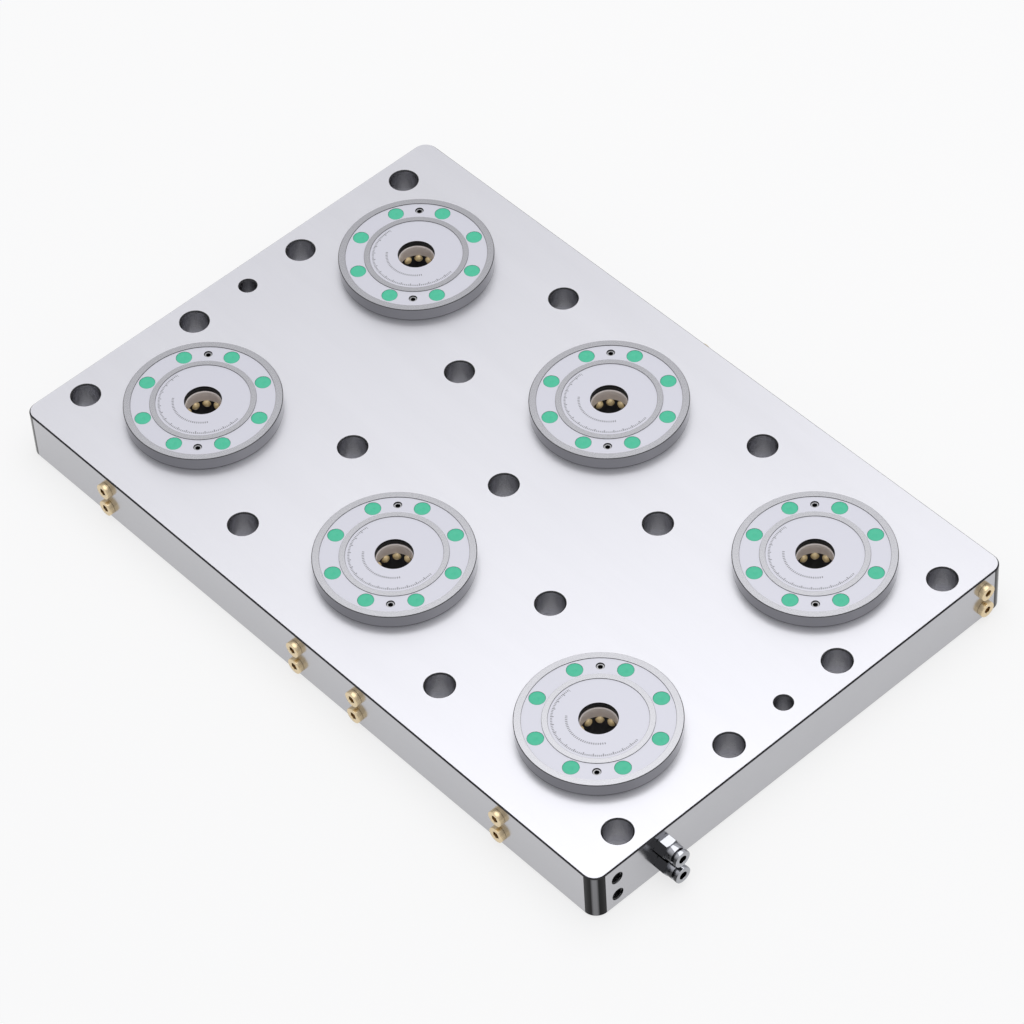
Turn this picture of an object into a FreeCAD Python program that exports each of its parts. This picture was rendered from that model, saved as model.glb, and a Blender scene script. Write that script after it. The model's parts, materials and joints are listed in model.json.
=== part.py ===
import FreeCAD, Part
import os
import re
import Sketcher
from FreeCAD import Placement, Rotation, Vector

# Pneumatic zero point clamping plate: a ground steel plate that carries six
# ball-lock clamping modules, fed with air through drilled channels.
# Millimetres and degrees. The origin is the plate's centre on its underside,
# X runs along the long side, Y along the short side and Z points up.
# A module stands at rest with its balls locked; air lifts the piston to open it.

SIZES = {
    # the plate: its sides stand off from the outer modules' axes
    "module_pitch_x": 200,
    "module_pitch_y": 200,
    "end_margin": 90,
    "side_margin": 90,
    "plate_height": 40,
    "corner_radius": 10,
    "edge_break": 1,
    "floor_thickness": 6,
    # the plate's fixing and dowel holes
    "fixing_from_end": 20,
    "fixing_from_side": 40,
    "fixing_radius": 6.75,
    "counterbore_radius": 10,
    "counterbore_depth": 22,
    "dowel_from_end": 20,
    "dowel_radius": 6,
    # the air channels, drilled at two levels
    "channel_radius": 4,
    "channel_low": 11,
    "channel_high": 28,
    "channel_overrun": 4,
    "header_from_side": 20,
    "supply_from_side": 60,
    "link_x": 60,
    "port_radius": 4.864,
    "port_depth": 10,
    # the module's housing, built out and in from its spigot
    "flange_beyond_screws": 12,
    "flange_height": 10,
    "rim_break": 0.5,
    "seat_clearance": 0.05,
    "spigot_radius": 38.95,
    "cylinder_wall": 5.45,
    "roof_thickness": 8,
    "opening_radius": 13.3,
    "recess_depth": 0.4,
    "inner_ring_inset": 1.65,
    "inner_ring_width": 3.85,
    "ground_ring_width": 5,
    "ring_groove_depth": 1.9,
    "ring_groove_width": 2.4,
    "upper_ring_below_flange": 3.6,
    "lower_ring_above_cover": 8.5,
    "air_groove_depth": 1.7,
    "air_groove_width": 6,
    "air_port_radius": 2.5,
    "wiper_inside": 12.8,
    "wiper_groove_radius": 15.1,
    "wiper_height": 2,
    "wiper_above_cage": 1,
    # the flange screws, their caps and the jack screws
    "screws_beyond_spigot": 5.05,
    "first_screw_angle": 22.5,
    "screw_radius": 3,
    "screw_hole_gap": 0.3,
    "screw_thread_gap": 0.05,
    "screw_length": 18,
    "screw_head_radius": 5,
    "screw_head_height": 4,
    "screw_seat_height": 4,
    "screw_socket_width": 4,
    "screw_socket_depth": 2.2,
    "cap_radius": 5.7,
    "cap_gap": 0.05,
    "tapping_spare": 2,
    "jack_angle": 135,
    "jack_radius": 3,
    "jack_length": 6,
    "jack_below_recess": 0.8,
    "jack_socket_width": 3,
    "jack_socket_depth": 3,
    # the chamber cover under the piston
    "cover_inset": 2.95,
    "cover_height": 5,
    "cover_recess_radius": 12.5,
    "cover_recess_depth": 3,
    "cover_slot_start": 18,
    "cover_slot_width": 4,
    "cover_slot_depth": 1.5,
    # the ball cage and the balls
    "cage_radius": 16.5,
    "cage_flange_radius": 18,
    "cage_flange_height": 2.8,
    "cage_relief_radius": 12.9,
    "nipple_radius": 12.5,
    "nipple_land_length": 4,
    "nipple_lead_in": 0.5,
    "ball_radius": 3.25,
    "ball_depth": 17.7,
    "ball_locked_at": 13.85,
    "first_ball_angle": 27,
    "window_gap": 0.05,
    "window_narrowing": 0.2,
    "window_overrun": 1,
    # the piston and its springs and seals
    "piston_stroke": 4,
    "piston_rest_gap": 0.2,
    "piston_end_gap": 1,
    "piston_head_height": 10.8,
    "skirt_gap": 2,
    "piston_collar_radius": 22,
    "slide_gap": 0.05,
    "cone_slope": 0.55,
    "cone_gap": 0.05,
    "cone_shelf_gap": 0.25,
    "guide_relief": 0.1,
    "seal_groove_above_foot": 4,
    "seal_groove_width": 4,
    "seal_groove_depth": 2.5,
    "seal_gap": 0.05,
    "spring_free_height": 9,
    "spring_side_gap": 0.2,
    "spring_bore_gap": 0.5,
    "spring_thickness": 1.2,
    "spring_gap": 0.05,
    # the port plugs
    "plug_thread_gap": 0.05,
    "plug_thread_length": 8,
    "plug_collar_radius": 6,
    "plug_collar_height": 4,
    "plug_break": 0.4,
    "plug_socket_width": 5,
    "plug_socket_depth": 6,
    # the push-in tube fittings
    "fitting_hex_width": 14,
    "fitting_hex_height": 9,
    "fitting_hex_break": 0.8,
    "fitting_radius": 6.5,
    "fitting_height": 14.5,
    "fitting_break": 0.4,
    "fitting_passage_radius": 2.2,
    "tube_radius": 3,
    "tube_gap": 0.05,
    "tube_stop_depth": 2,
    "chamber_radius": 5,
    "chamber_start": 0.5,
    "tube_seal_height": 2,
    "grip_ring_height": 1,
    "grip_ring_gap": 0.2,
    "collar_neck_radius": 4.6,
    "collar_travel": 1.2,
    "collar_stop_gap": 0.3,
    "collar_flange_radius": 6.4,
    "collar_flange_height": 3,
    "collar_break": 0.4,
}

SCREWS_PER_MODULE = 8
JACKS_PER_MODULE = 2
BALLS_PER_MODULE = 10
COVER_SLOTS = 4
HEX_SIDES = 6

# places, heights and radii that several pieces share, worked out from the sizes above
PLATE_END = "(module_pitch_x + end_margin)"
PLATE_SIDE = "(module_pitch_y / 2 + side_margin)"
FIXING_OUTER_X = f"({PLATE_END} - fixing_from_end)"
FIXING_INNER_X = "(module_pitch_x / 2)"
FIXING_OUTER_Y = f"({PLATE_SIDE} - fixing_from_side)"
FIXING_INNER_Y = "(module_pitch_y / 4)"
DOWEL_X = f"({PLATE_END} - dowel_from_end)"
HEADER_Y = f"({PLATE_SIDE} - header_from_side)"
SUPPLY_Y = f"({PLATE_SIDE} - supply_from_side)"
SCREW_CIRCLE = "(spigot_radius + screws_beyond_spigot)"
FLANGE_RADIUS = f"({SCREW_CIRCLE} + flange_beyond_screws)"
GROUND_RING_INSIDE = f"({FLANGE_RADIUS} - ground_ring_width)"
INNER_RING_OUTSIDE = "(spigot_radius - inner_ring_inset)"
INNER_RING_INSIDE = f"({INNER_RING_OUTSIDE} - inner_ring_width)"
CYLINDER_RADIUS = "(spigot_radius - cylinder_wall)"
COVER_RADIUS = "(spigot_radius - cover_inset)"
MODULE_TOP = "(plate_height + flange_height)"
RECESS = "(plate_height + flange_height - recess_depth)"
COVER_TOP = "(floor_thickness + cover_height)"
CEILING = "(plate_height + flange_height - roof_thickness)"
CAGE_TOP = "(plate_height + flange_height - roof_thickness + cage_flange_height)"
WIPER_FOOT = "(plate_height + flange_height - roof_thickness + cage_flange_height + wiper_above_cage)"
SCREW_SEAT = "(plate_height + screw_seat_height)"
UPPER_RING = "(plate_height - upper_ring_below_flange)"
LOWER_RING = "(floor_thickness + cover_height + lower_ring_above_cover)"
BALL_LEVEL = "(plate_height + flange_height - ball_depth)"
PISTON_FOOT = "(floor_thickness + cover_height + piston_rest_gap)"
PISTON_SHOULDER = "(plate_height + flange_height - roof_thickness - spring_free_height)"
PISTON_TOP = "(plate_height + flange_height - roof_thickness - piston_stroke - piston_end_gap)"
PISTON_RADIUS = f"({CYLINDER_RADIUS} - slide_gap)"
SKIRT_RADIUS = f"({CYLINDER_RADIUS} - skirt_gap)"
SPRING_OUTSIDE = f"({SKIRT_RADIUS} - spring_side_gap)"
SPRING_INSIDE = "(piston_collar_radius + spring_bore_gap)"
GUIDE_RADIUS = "(cage_radius + slide_gap)"
CONE_TOP_RADIUS = "(cage_radius + guide_relief)"
CONE_AT_BALL = "(ball_locked_at + (ball_radius + cone_gap) * sqrt(1 + cone_slope * cone_slope))"
CONE_SHELF = f"({BALL_LEVEL} - ball_radius - cone_shelf_gap - piston_stroke)"
SEAL_FOOT = f"({PISTON_FOOT} + seal_groove_above_foot)"
GRIP_TOP = "(chamber_start + tube_seal_height + grip_ring_gap + grip_ring_height)"
COLLAR_FOOT = f"({GRIP_TOP} + collar_stop_gap + collar_travel)"
COLLAR_FLANGE = "(fitting_height + collar_travel + collar_stop_gap)"
COLLAR_TOP = f"({COLLAR_FLANGE} + collar_flange_height)"

doc = FreeCAD.newDocument("clamping_plate")
sheet = doc.addObject("Spreadsheet::Sheet", "Sizes")
nodes = []


def write_sizes():
    for row, (name, value) in enumerate(SIZES.items(), 1):
        sheet.set(f"A{row}", name)
        sheet.set(f"B{row}", str(value))
        sheet.setAlias(f"B{row}", name)
    doc.recompute()


def formula(text):
    """Point every size name in the text at its cell of the sheet."""
    return re.sub(r"\b[a-z]\w*\b(?!\()", lambda word: "Sizes." + word.group(), text)


def number(text):
    return float(sheet.evalExpression(formula(text)))


def bind(thing, target, text):
    thing.setExpression(target, formula(text))


# sketches

def new_body(label):
    body = doc.addObject("PartDesign::Body", label)
    body.Label = label
    return body


def origin_feature(body, role):
    return next(item for item in body.Origin.OriginFeatures if item.Role == role)


def new_sketch(body, label, role, height="0", shift="0"):
    """A sketch on an origin plane, moved out by height and along its own Y by shift."""
    sketch = body.newObject("Sketcher::SketchObject", label)
    sketch.AttachmentSupport = [(origin_feature(body, role), "")]
    sketch.MapMode = "FlatFace"
    bind(sketch, ".AttachmentOffset.Base.z", height)
    bind(sketch, ".AttachmentOffset.Base.y", shift)
    return sketch


def pin_point(sketch, item, point, x, y):
    """Hold one point of a sketch at two formulas."""
    for kind, text in (("DistanceX", x), ("DistanceY", y)):
        index = sketch.addConstraint(Sketcher.Constraint(kind, -1, 1, item, point, number(text)))
        sketch.setExpression(f"Constraints[{index}]", formula(text))


def outline(sketch, corners):
    """A closed outline of straight lines with every corner held by its formulas."""
    points = [Vector(number(x), number(y), 0) for x, y in corners]
    count = len(points)
    for index in range(count):
        sketch.addGeometry(Part.LineSegment(points[index], points[(index + 1) % count]), False)
    joins = [Sketcher.Constraint("Coincident", index, 2, (index + 1) % count, 1) for index in range(count)]
    sketch.addConstraint(joins)
    for index, (x, y) in enumerate(corners):
        pin_point(sketch, index, 1, x, y)


def circles(sketch, radius, centres):
    for x, y in centres:
        centre = Vector(number(x), number(y), 0)
        item = sketch.addGeometry(Part.Circle(centre, Vector(0, 0, 1), number(radius)), False)
        index = sketch.addConstraint(Sketcher.Constraint("Radius", item, number(radius)))
        sketch.setExpression(f"Constraints[{index}]", formula(radius))
        pin_point(sketch, item, 3, x, y)


def hexagon(sketch, width):
    """A hexagon with flats across X, given its width across flats."""
    step = 360 / HEX_SIDES
    corner = f"{width} / sqrt(3)"
    angles = [step * (index + 0.5) for index in range(HEX_SIDES)]
    outline(sketch, [(f"{corner} * cos({angle})", f"{corner} * sin({angle})") for angle in angles])


# features

def finish_feature(body, feature, removes):
    """Make the feature the body's tip and make sure that it changed the solid."""
    before = 0 if body.Shape.isNull() else body.Shape.Volume
    body.Tip = feature
    doc.recompute()
    change = body.Shape.Volume - before
    if (removes and change >= 0) or (not removes and change <= 0):
        raise ValueError(f"{feature.Label} changed nothing")
    return feature


def turn(body, label, corners):
    """Material turned about Z from a half section."""
    sketch = new_sketch(body, label + "_section", "XZ_Plane")
    outline(sketch, corners)
    feature = body.newObject("PartDesign::Revolution", label + "_turning")
    feature.Profile = sketch
    feature.ReferenceAxis = (sketch, ["V_Axis"])
    feature.Angle = 360
    return finish_feature(body, feature, False)


def turn_out(body, label, corners):
    """A turned cut about Z from a half section."""
    sketch = new_sketch(body, label + "_section", "XZ_Plane")
    outline(sketch, corners)
    feature = body.newObject("PartDesign::Groove", label + "_groove")
    feature.Profile = sketch
    feature.ReferenceAxis = (sketch, ["V_Axis"])
    feature.Angle = 360
    return finish_feature(body, feature, True)


def pad(body, sketch, label, length):
    feature = body.newObject("PartDesign::Pad", label)
    feature.Profile = sketch
    bind(feature, "Length", length)
    return finish_feature(body, feature, False)


def pocket(body, sketch, label, depth, backwards=False, both_ways=False):
    feature = body.newObject("PartDesign::Pocket", label)
    feature.Profile = sketch
    feature.Reversed = backwards
    feature.Midplane = both_ways
    bind(feature, "Length", depth)
    return finish_feature(body, feature, True)


def drill(body, label, role, face, radius, centres, depth, backwards=False):
    """Round holes of one radius and depth, drilled from a plane parallel to an origin plane."""
    sketch = new_sketch(body, label + "_circles", role, face)
    circles(sketch, radius, centres)
    return pocket(body, sketch, label, depth, backwards)


def repeat_about_z(body, label, features, count):
    pattern = body.newObject("PartDesign::PolarPattern", label)
    pattern.Originals = features
    pattern.Axis = (origin_feature(body, "Z_Axis"), [""])
    pattern.Angle = 360
    pattern.Occurrences = count
    return finish_feature(body, pattern, True)


def break_edges(body, label, test, size, kind="PartDesign::Chamfer", value="Size"):
    """Chamfer or round every edge of the body that passes the test."""
    base = body.Tip
    names = [f"Edge{index}" for index, edge in enumerate(base.Shape.Edges, 1) if test(edge)]
    feature = body.newObject(kind, label)
    feature.Base = (base, names)
    bind(feature, value, size)
    return finish_feature(body, feature, True)


def is_upright(edge):
    return edge.BoundBox.XLength + edge.BoundBox.YLength < 0.001


def is_level_at(edge, height):
    return edge.BoundBox.ZLength < 0.001 and abs(edge.BoundBox.ZMin - height) < 0.001


def is_rim_at(edge, height, radius):
    round_edge = isinstance(edge.Curve, Part.Circle) and abs(edge.Curve.Radius - radius) < 0.001
    return round_edge and is_level_at(edge, height)


# copies

def copy_of(thing, label, x="0", y="0", z="0", rotation=None):
    """A linked copy of a piece, placed by formulas."""
    link = doc.addObject("App::Link", label)
    link.LinkedObject = thing
    link.Label = label
    if rotation:
        link.Placement = Placement(Vector(0, 0, 0), rotation)
    bind(link, ".Placement.Base.x", x)
    bind(link, ".Placement.Base.y", y)
    bind(link, ".Placement.Base.z", z)
    return link


def group(label, things):
    compound = doc.addObject("Part::Compound", label)
    compound.Label = label
    compound.Links = things
    doc.recompute()
    return compound


def ring_of(thing, label, radius, first_angle, count, height="0"):
    """Copies of a piece spread evenly on a circle about Z."""
    step = 360 / count
    copies = []
    for index in range(count):
        angle = f"({first_angle} + {step * index})"
        x = f"{radius} * cos{angle}"
        y = f"{radius} * sin{angle}"
        copies.append(copy_of(thing, f"{label}_{index + 1}", x, y, height))
    return group(label, copies)


def module_spots():
    """The six module centres, numbered along X and then along Y."""
    places = [(column, row) for row in (-0.5, 0.5) for column in (-1, 0, 1)]
    return [(f"module_pitch_x * {column}", f"module_pitch_y * {row}") for column, row in places]


def at_modules(thing, label):
    """One node that holds a copy of the piece at every module."""
    spots = enumerate(module_spots(), 1)
    nodes.append(group(label, [copy_of(thing, f"{label}_{index}", x, y) for index, (x, y) in spots]))


def node_per_module(thing, label):
    """A node of its own for every module's copy of the piece."""
    for index, (x, y) in enumerate(module_spots(), 1):
        nodes.append(copy_of(thing, f"{label}_{index}", x, y))


def along(direction):
    """The turn that lays a piece made along Z on to a side of the plate."""
    turns = {"+X": ((0, 1, 0), 90), "-Y": ((1, 0, 0), 90), "+Y": ((1, 0, 0), -90)}
    axis, angle = turns[direction]
    return Rotation(Vector(*axis), angle)


# the plate

def both_signs(x, y):
    return [(f"{a} * {x}", f"{b} * {y}") for a in (-1, 1) for b in (-1, 1)]


def fixing_spots():
    spots = [("0", "0")]
    for x in (FIXING_OUTER_X, FIXING_INNER_X):
        for y in (FIXING_OUTER_Y, FIXING_INNER_Y):
            spots += both_signs(x, y)
    return spots


def flange_screw_spots():
    spots = []
    step = 360 / SCREWS_PER_MODULE
    for x, y in module_spots():
        for index in range(SCREWS_PER_MODULE):
            angle = f"(first_screw_angle + {step * index})"
            across = f"{SCREW_CIRCLE} * cos{angle}"
            back = f"{SCREW_CIRCLE} * sin{angle}"
            spots.append((f"{x} + {across}", f"{y} + {back}"))
    return spots


def at_both_levels(places):
    return [(place, level) for place in places for level in ("channel_low", "channel_high")]


def drill_channels(body):
    """The air channels: two headers, a supply and the branches that reach every pocket."""
    branches = at_both_levels(["-1 * module_pitch_x", "link_x", "module_pitch_x"])
    reach = f"{PLATE_SIDE} + {HEADER_Y} + channel_overrun"
    drill(body, "branch_channels", "XZ_Plane", PLATE_SIDE, "channel_radius", branches, reach)
    middle = at_both_levels(["0"])
    to_pocket = f"{PLATE_SIDE} - module_pitch_y / 2"
    drill(body, "front_middle_channels", "XZ_Plane", PLATE_SIDE, "channel_radius", middle, to_pocket)
    rear = f"-{PLATE_SIDE}"
    drill(body, "rear_middle_channels", "XZ_Plane", rear, "channel_radius", middle, to_pocket, True)
    headers = at_both_levels([f"-1 * {HEADER_Y}", HEADER_Y])
    reach = f"{PLATE_END} + module_pitch_x + channel_overrun"
    drill(body, "header_channels", "YZ_Plane", PLATE_END, "channel_radius", headers, reach)
    supply = at_both_levels([f"-1 * {SUPPLY_Y}"])
    reach = f"{PLATE_END} - link_x + channel_overrun"
    drill(body, "supply_channels", "YZ_Plane", PLATE_END, "channel_radius", supply, reach)


def tap_ports(body):
    front = at_both_levels(["-1 * module_pitch_x", "0", "link_x", "module_pitch_x"])
    drill(body, "front_ports", "XZ_Plane", PLATE_SIDE, "port_radius", front, "port_depth")
    rear = at_both_levels(["0"])
    drill(body, "rear_ports", "XZ_Plane", f"-{PLATE_SIDE}", "port_radius", rear, "port_depth", True)
    end = at_both_levels([f"-1 * {HEADER_Y}", f"-1 * {SUPPLY_Y}", HEADER_Y])
    drill(body, "end_ports", "YZ_Plane", PLATE_END, "port_radius", end, "port_depth")


def make_base_plate():
    body = new_body("base_plate")
    sketch = new_sketch(body, "plate_outline", "XY_Plane")
    signs = ((-1, -1), (1, -1), (1, 1), (-1, 1))
    outline(sketch, [(f"{a} * {PLATE_END}", f"{b} * {PLATE_SIDE}") for a, b in signs])
    pad(body, sketch, "plate_block", "plate_height")
    break_edges(body, "plate_corners", is_upright, "corner_radius", "PartDesign::Fillet", "Radius")
    top = number("plate_height")
    levels = (0, top)
    break_edges(body, "plate_rims", lambda edge: any(is_level_at(edge, z) for z in levels), "edge_break")
    pocket_radius = "spigot_radius + seat_clearance"
    pocket_depth = "plate_height - floor_thickness"
    drill(body, "module_pockets", "XY_Plane", "plate_height", pocket_radius, module_spots(), pocket_depth)
    spots = fixing_spots()
    drill(body, "fixing_holes", "XY_Plane", "plate_height", "fixing_radius", spots, "plate_height")
    drill(body, "counterbores", "XY_Plane", "plate_height", "counterbore_radius", spots, "counterbore_depth")
    dowels = [(DOWEL_X, "0"), (f"-1 * {DOWEL_X}", "0")]
    drill(body, "dowel_holes", "XY_Plane", "plate_height", "dowel_radius", dowels, "plate_height")
    radii = (number("counterbore_radius"), number("dowel_radius"))
    break_edges(body, "hole_rims", lambda edge: any(is_rim_at(edge, top, r) for r in radii), "edge_break")
    depth = "screw_length - screw_seat_height + tapping_spare"
    radius = "screw_radius + screw_thread_gap"
    drill(body, "screw_tappings", "XY_Plane", "plate_height", radius, flange_screw_spots(), depth)
    drill_channels(body)
    tap_ports(body)
    nodes.append(body)


# the module's housing

def ring_groove(level):
    """The four corners of a sealing ring groove in the spigot, from the top down."""
    floor = "spigot_radius - ring_groove_depth"
    top = f"{level} + ring_groove_width / 2"
    foot = f"{level} - ring_groove_width / 2"
    return [("spigot_radius", top), (floor, top), (floor, foot), ("spigot_radius", foot)]


def housing_section():
    air_floor = "spigot_radius - air_groove_depth"
    air_top = "channel_high + air_groove_width / 2"
    air_foot = "channel_high - air_groove_width / 2"
    cage_seat = "cage_flange_radius + seat_clearance"
    wiper_top = f"{WIPER_FOOT} + wiper_height"
    face = [
        ("opening_radius", RECESS),
        (INNER_RING_INSIDE, RECESS),
        (INNER_RING_INSIDE, MODULE_TOP),
        (INNER_RING_OUTSIDE, MODULE_TOP),
        (INNER_RING_OUTSIDE, RECESS),
        (GROUND_RING_INSIDE, RECESS),
        (GROUND_RING_INSIDE, MODULE_TOP),
        (f"{FLANGE_RADIUS} - rim_break", MODULE_TOP),
        (FLANGE_RADIUS, f"{MODULE_TOP} - rim_break"),
        (FLANGE_RADIUS, "plate_height"),
        ("spigot_radius", "plate_height"),
    ]
    air_groove = [
        ("spigot_radius", air_top),
        (air_floor, air_top),
        (air_floor, air_foot),
        ("spigot_radius", air_foot),
    ]
    inside = [
        ("spigot_radius", COVER_TOP),
        (CYLINDER_RADIUS, COVER_TOP),
        (CYLINDER_RADIUS, CEILING),
        (cage_seat, CEILING),
        (cage_seat, CAGE_TOP),
        ("opening_radius", CAGE_TOP),
        ("opening_radius", WIPER_FOOT),
        ("wiper_groove_radius", WIPER_FOOT),
        ("wiper_groove_radius", wiper_top),
        ("opening_radius", wiper_top),
    ]
    return face + ring_groove(UPPER_RING) + air_groove + ring_groove(LOWER_RING) + inside


def on_circle(radius, angle):
    return [(f"{radius} * cos({angle})", f"{radius} * sin({angle})")]


def make_housings():
    body = new_body("housing_master")
    turn(body, "housing", housing_section())
    spot = on_circle(SCREW_CIRCLE, "first_screw_angle")
    seat_depth = "flange_height - screw_seat_height"
    head_radius = "cap_radius + cap_gap"
    hole_radius = "screw_radius + screw_hole_gap"
    seat = drill(body, "screw_seat", "XY_Plane", MODULE_TOP, head_radius, spot, seat_depth)
    hole = drill(body, "screw_hole", "XY_Plane", MODULE_TOP, hole_radius, spot, "flange_height")
    repeat_about_z(body, "screw_holes", [seat, hole], SCREWS_PER_MODULE)
    spot = on_circle(SCREW_CIRCLE, "jack_angle")
    jack_radius = "jack_radius + screw_thread_gap"
    jack = drill(body, "jack_hole", "XY_Plane", MODULE_TOP, jack_radius, spot, "flange_height")
    repeat_about_z(body, "jack_holes", [jack], JACKS_PER_MODULE)
    sketch = new_sketch(body, "air_port_circle", "YZ_Plane")
    circles(sketch, "air_port_radius", [("0", "channel_high")])
    pocket(body, sketch, "air_ports", "spigot_radius * 2", both_ways=True)
    node_per_module(body, "module_housing")


def make_chamber_covers():
    body = new_body("cover_master")
    floor = f"{COVER_TOP} - cover_recess_depth"
    section = [
        ("0", "floor_thickness"),
        (COVER_RADIUS, "floor_thickness"),
        (COVER_RADIUS, COVER_TOP),
        ("cover_recess_radius", COVER_TOP),
        ("cover_recess_radius", floor),
        ("0", floor),
    ]
    turn(body, "cover", section)
    sketch = new_sketch(body, "cover_slot_outline", "XY_Plane", COVER_TOP)
    side = "cover_slot_width / 2"
    end = f"{COVER_RADIUS} + cover_slot_width"
    start = "cover_slot_start"
    outline(sketch, [(start, f"-{side}"), (end, f"-{side}"), (end, side), (start, side)])
    slot = pocket(body, sketch, "cover_slot", "cover_slot_depth")
    repeat_about_z(body, "cover_slots", [slot], COVER_SLOTS)
    node_per_module(body, "chamber_cover")


# the ball lock

def window_section():
    """Half of a ball window: a hole through the cage's wall that narrows to hold the ball back."""
    radius = "(ball_radius + window_gap)"
    mouth = "cage_flange_radius"
    inner = "cage_relief_radius - window_overrun"
    return [
        (inner, "0"),
        (mouth, "0"),
        (mouth, radius),
        ("ball_locked_at", radius),
        (inner, f"{radius} - window_narrowing"),
    ]


def make_ball_cages():
    body = new_body("cage_master")
    land_top = f"{CAGE_TOP} - nipple_lead_in"
    land_foot = f"{land_top} - nipple_land_length"
    section = [
        ("cage_relief_radius", COVER_TOP),
        ("cage_radius", COVER_TOP),
        ("cage_radius", CEILING),
        ("cage_flange_radius", CEILING),
        ("cage_flange_radius", CAGE_TOP),
        ("nipple_radius + nipple_lead_in", CAGE_TOP),
        ("nipple_radius", land_top),
        ("nipple_radius", land_foot),
        ("cage_relief_radius", land_foot),
    ]
    turn(body, "cage", section)
    sketch = new_sketch(body, "window_section", "XZ_Plane", shift=BALL_LEVEL)
    outline(sketch, window_section())
    window = body.newObject("PartDesign::Groove", "window")
    window.Profile = sketch
    window.ReferenceAxis = (sketch, ["H_Axis"])
    window.Angle = 360
    finish_feature(body, window, True)
    repeat_about_z(body, "windows", [window], BALLS_PER_MODULE)
    placed = copy_of(body, "cage_turned", rotation=Rotation(Vector(0, 0, 1), number("first_ball_angle")))
    bind(placed, ".Placement.Rotation.Angle", "first_ball_angle")
    node_per_module(group("cage_in_place", [placed]), "ball_cage")


def make_lock_balls():
    """Each node holds the balls that move the same way, one in every module."""
    ball = doc.addObject("Part::Sphere", "ball_master")
    bind(ball, "Radius", "ball_radius")
    step = 360 / BALLS_PER_MODULE
    for index in range(BALLS_PER_MODULE):
        angle = f"(first_ball_angle + {step * index})"
        x = f"ball_locked_at * cos{angle}"
        y = f"ball_locked_at * sin{angle}"
        placed = copy_of(ball, f"ball_at_{index + 1}", x, y, BALL_LEVEL)
        at_modules(group(f"ball_{index + 1}", [placed]), f"lock_balls_{index + 1:02d}")


def piston_section():
    cone_end = f"{BALL_LEVEL} + ({CONE_AT_BALL} - {CONE_TOP_RADIUS}) / cone_slope"
    cone_foot_radius = f"{CONE_AT_BALL} + cone_slope * ({BALL_LEVEL} - {CONE_SHELF})"
    head_top = f"{PISTON_FOOT} + piston_head_height"
    seal_top = f"{SEAL_FOOT} + seal_groove_width"
    outer_groove = f"{PISTON_RADIUS} - seal_groove_depth"
    inner_groove = f"{GUIDE_RADIUS} + seal_groove_depth"
    return [
        (GUIDE_RADIUS, PISTON_FOOT),
        (PISTON_RADIUS, PISTON_FOOT),
        (PISTON_RADIUS, SEAL_FOOT),
        (outer_groove, SEAL_FOOT),
        (outer_groove, seal_top),
        (PISTON_RADIUS, seal_top),
        (PISTON_RADIUS, head_top),
        (SKIRT_RADIUS, head_top),
        (SKIRT_RADIUS, PISTON_SHOULDER),
        ("piston_collar_radius", PISTON_SHOULDER),
        ("piston_collar_radius", PISTON_TOP),
        (CONE_TOP_RADIUS, PISTON_TOP),
        (CONE_TOP_RADIUS, cone_end),
        (cone_foot_radius, CONE_SHELF),
        (GUIDE_RADIUS, CONE_SHELF),
        (GUIDE_RADIUS, seal_top),
        (inner_groove, seal_top),
        (inner_groove, SEAL_FOOT),
        (GUIDE_RADIUS, SEAL_FOOT),
    ]


def make_pistons():
    body = new_body("piston_master")
    turn(body, "piston", piston_section())
    node_per_module(body, "piston")


def ring_section(inside, outside, foot, top):
    return [(inside, foot), (outside, foot), (outside, top), (inside, top)]


def make_piston_seals():
    foot = f"{SEAL_FOOT} + seal_gap"
    top = f"{SEAL_FOOT} + seal_groove_width - seal_gap"
    outer = new_body("outer_seal_master")
    groove = f"{PISTON_RADIUS} - seal_groove_depth + seal_gap"
    turn(outer, "outer_seal", ring_section(groove, PISTON_RADIUS, foot, top))
    inner = new_body("inner_seal_master")
    groove = f"{GUIDE_RADIUS} + seal_groove_depth - seal_gap"
    turn(inner, "inner_seal", ring_section(GUIDE_RADIUS, groove, foot, top))
    node_per_module(group("seals_of_one_piston", [outer, inner]), "piston_seals")


def disc_spring_section(outer_edge, inner_edge, towards_inner):
    """A cone of sheet between its outer edge's level and its inner edge's level."""
    thick = f"{towards_inner} * spring_thickness"
    return [
        (SPRING_OUTSIDE, outer_edge),
        (SPRING_OUTSIDE, f"{outer_edge} + {thick}"),
        (SPRING_INSIDE, inner_edge),
        (SPRING_INSIDE, f"{inner_edge} - {thick}"),
    ]


def make_disc_springs():
    middle = f"({PISTON_SHOULDER} + spring_free_height / 2)"
    lower = new_body("lower_spring_master")
    turn(lower, "lower_spring", disc_spring_section(PISTON_SHOULDER, f"({middle} - spring_gap)", "1"))
    upper = new_body("upper_spring_master")
    turn(upper, "upper_spring", disc_spring_section(CEILING, f"({middle} + spring_gap)", "-1"))
    node_per_module(group("springs_of_one_module", [lower, upper]), "disc_springs")


# rings, screws and caps

def make_housing_rings():
    """Sealing rings between the spigot and the pocket's wall, one above and one below the air port."""
    rings = []
    inside = "spigot_radius - ring_groove_depth + seal_gap"
    for label, level in (("upper_ring", UPPER_RING), ("lower_ring", LOWER_RING)):
        body = new_body(label + "_master")
        foot = f"{level} - ring_groove_width / 2 + seal_gap"
        top = f"{level} + ring_groove_width / 2 - seal_gap"
        turn(body, label, ring_section(inside, "spigot_radius", foot, top))
        rings.append(body)
    at_modules(group("rings_of_one_housing", rings), "housing_seal_rings")


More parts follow.
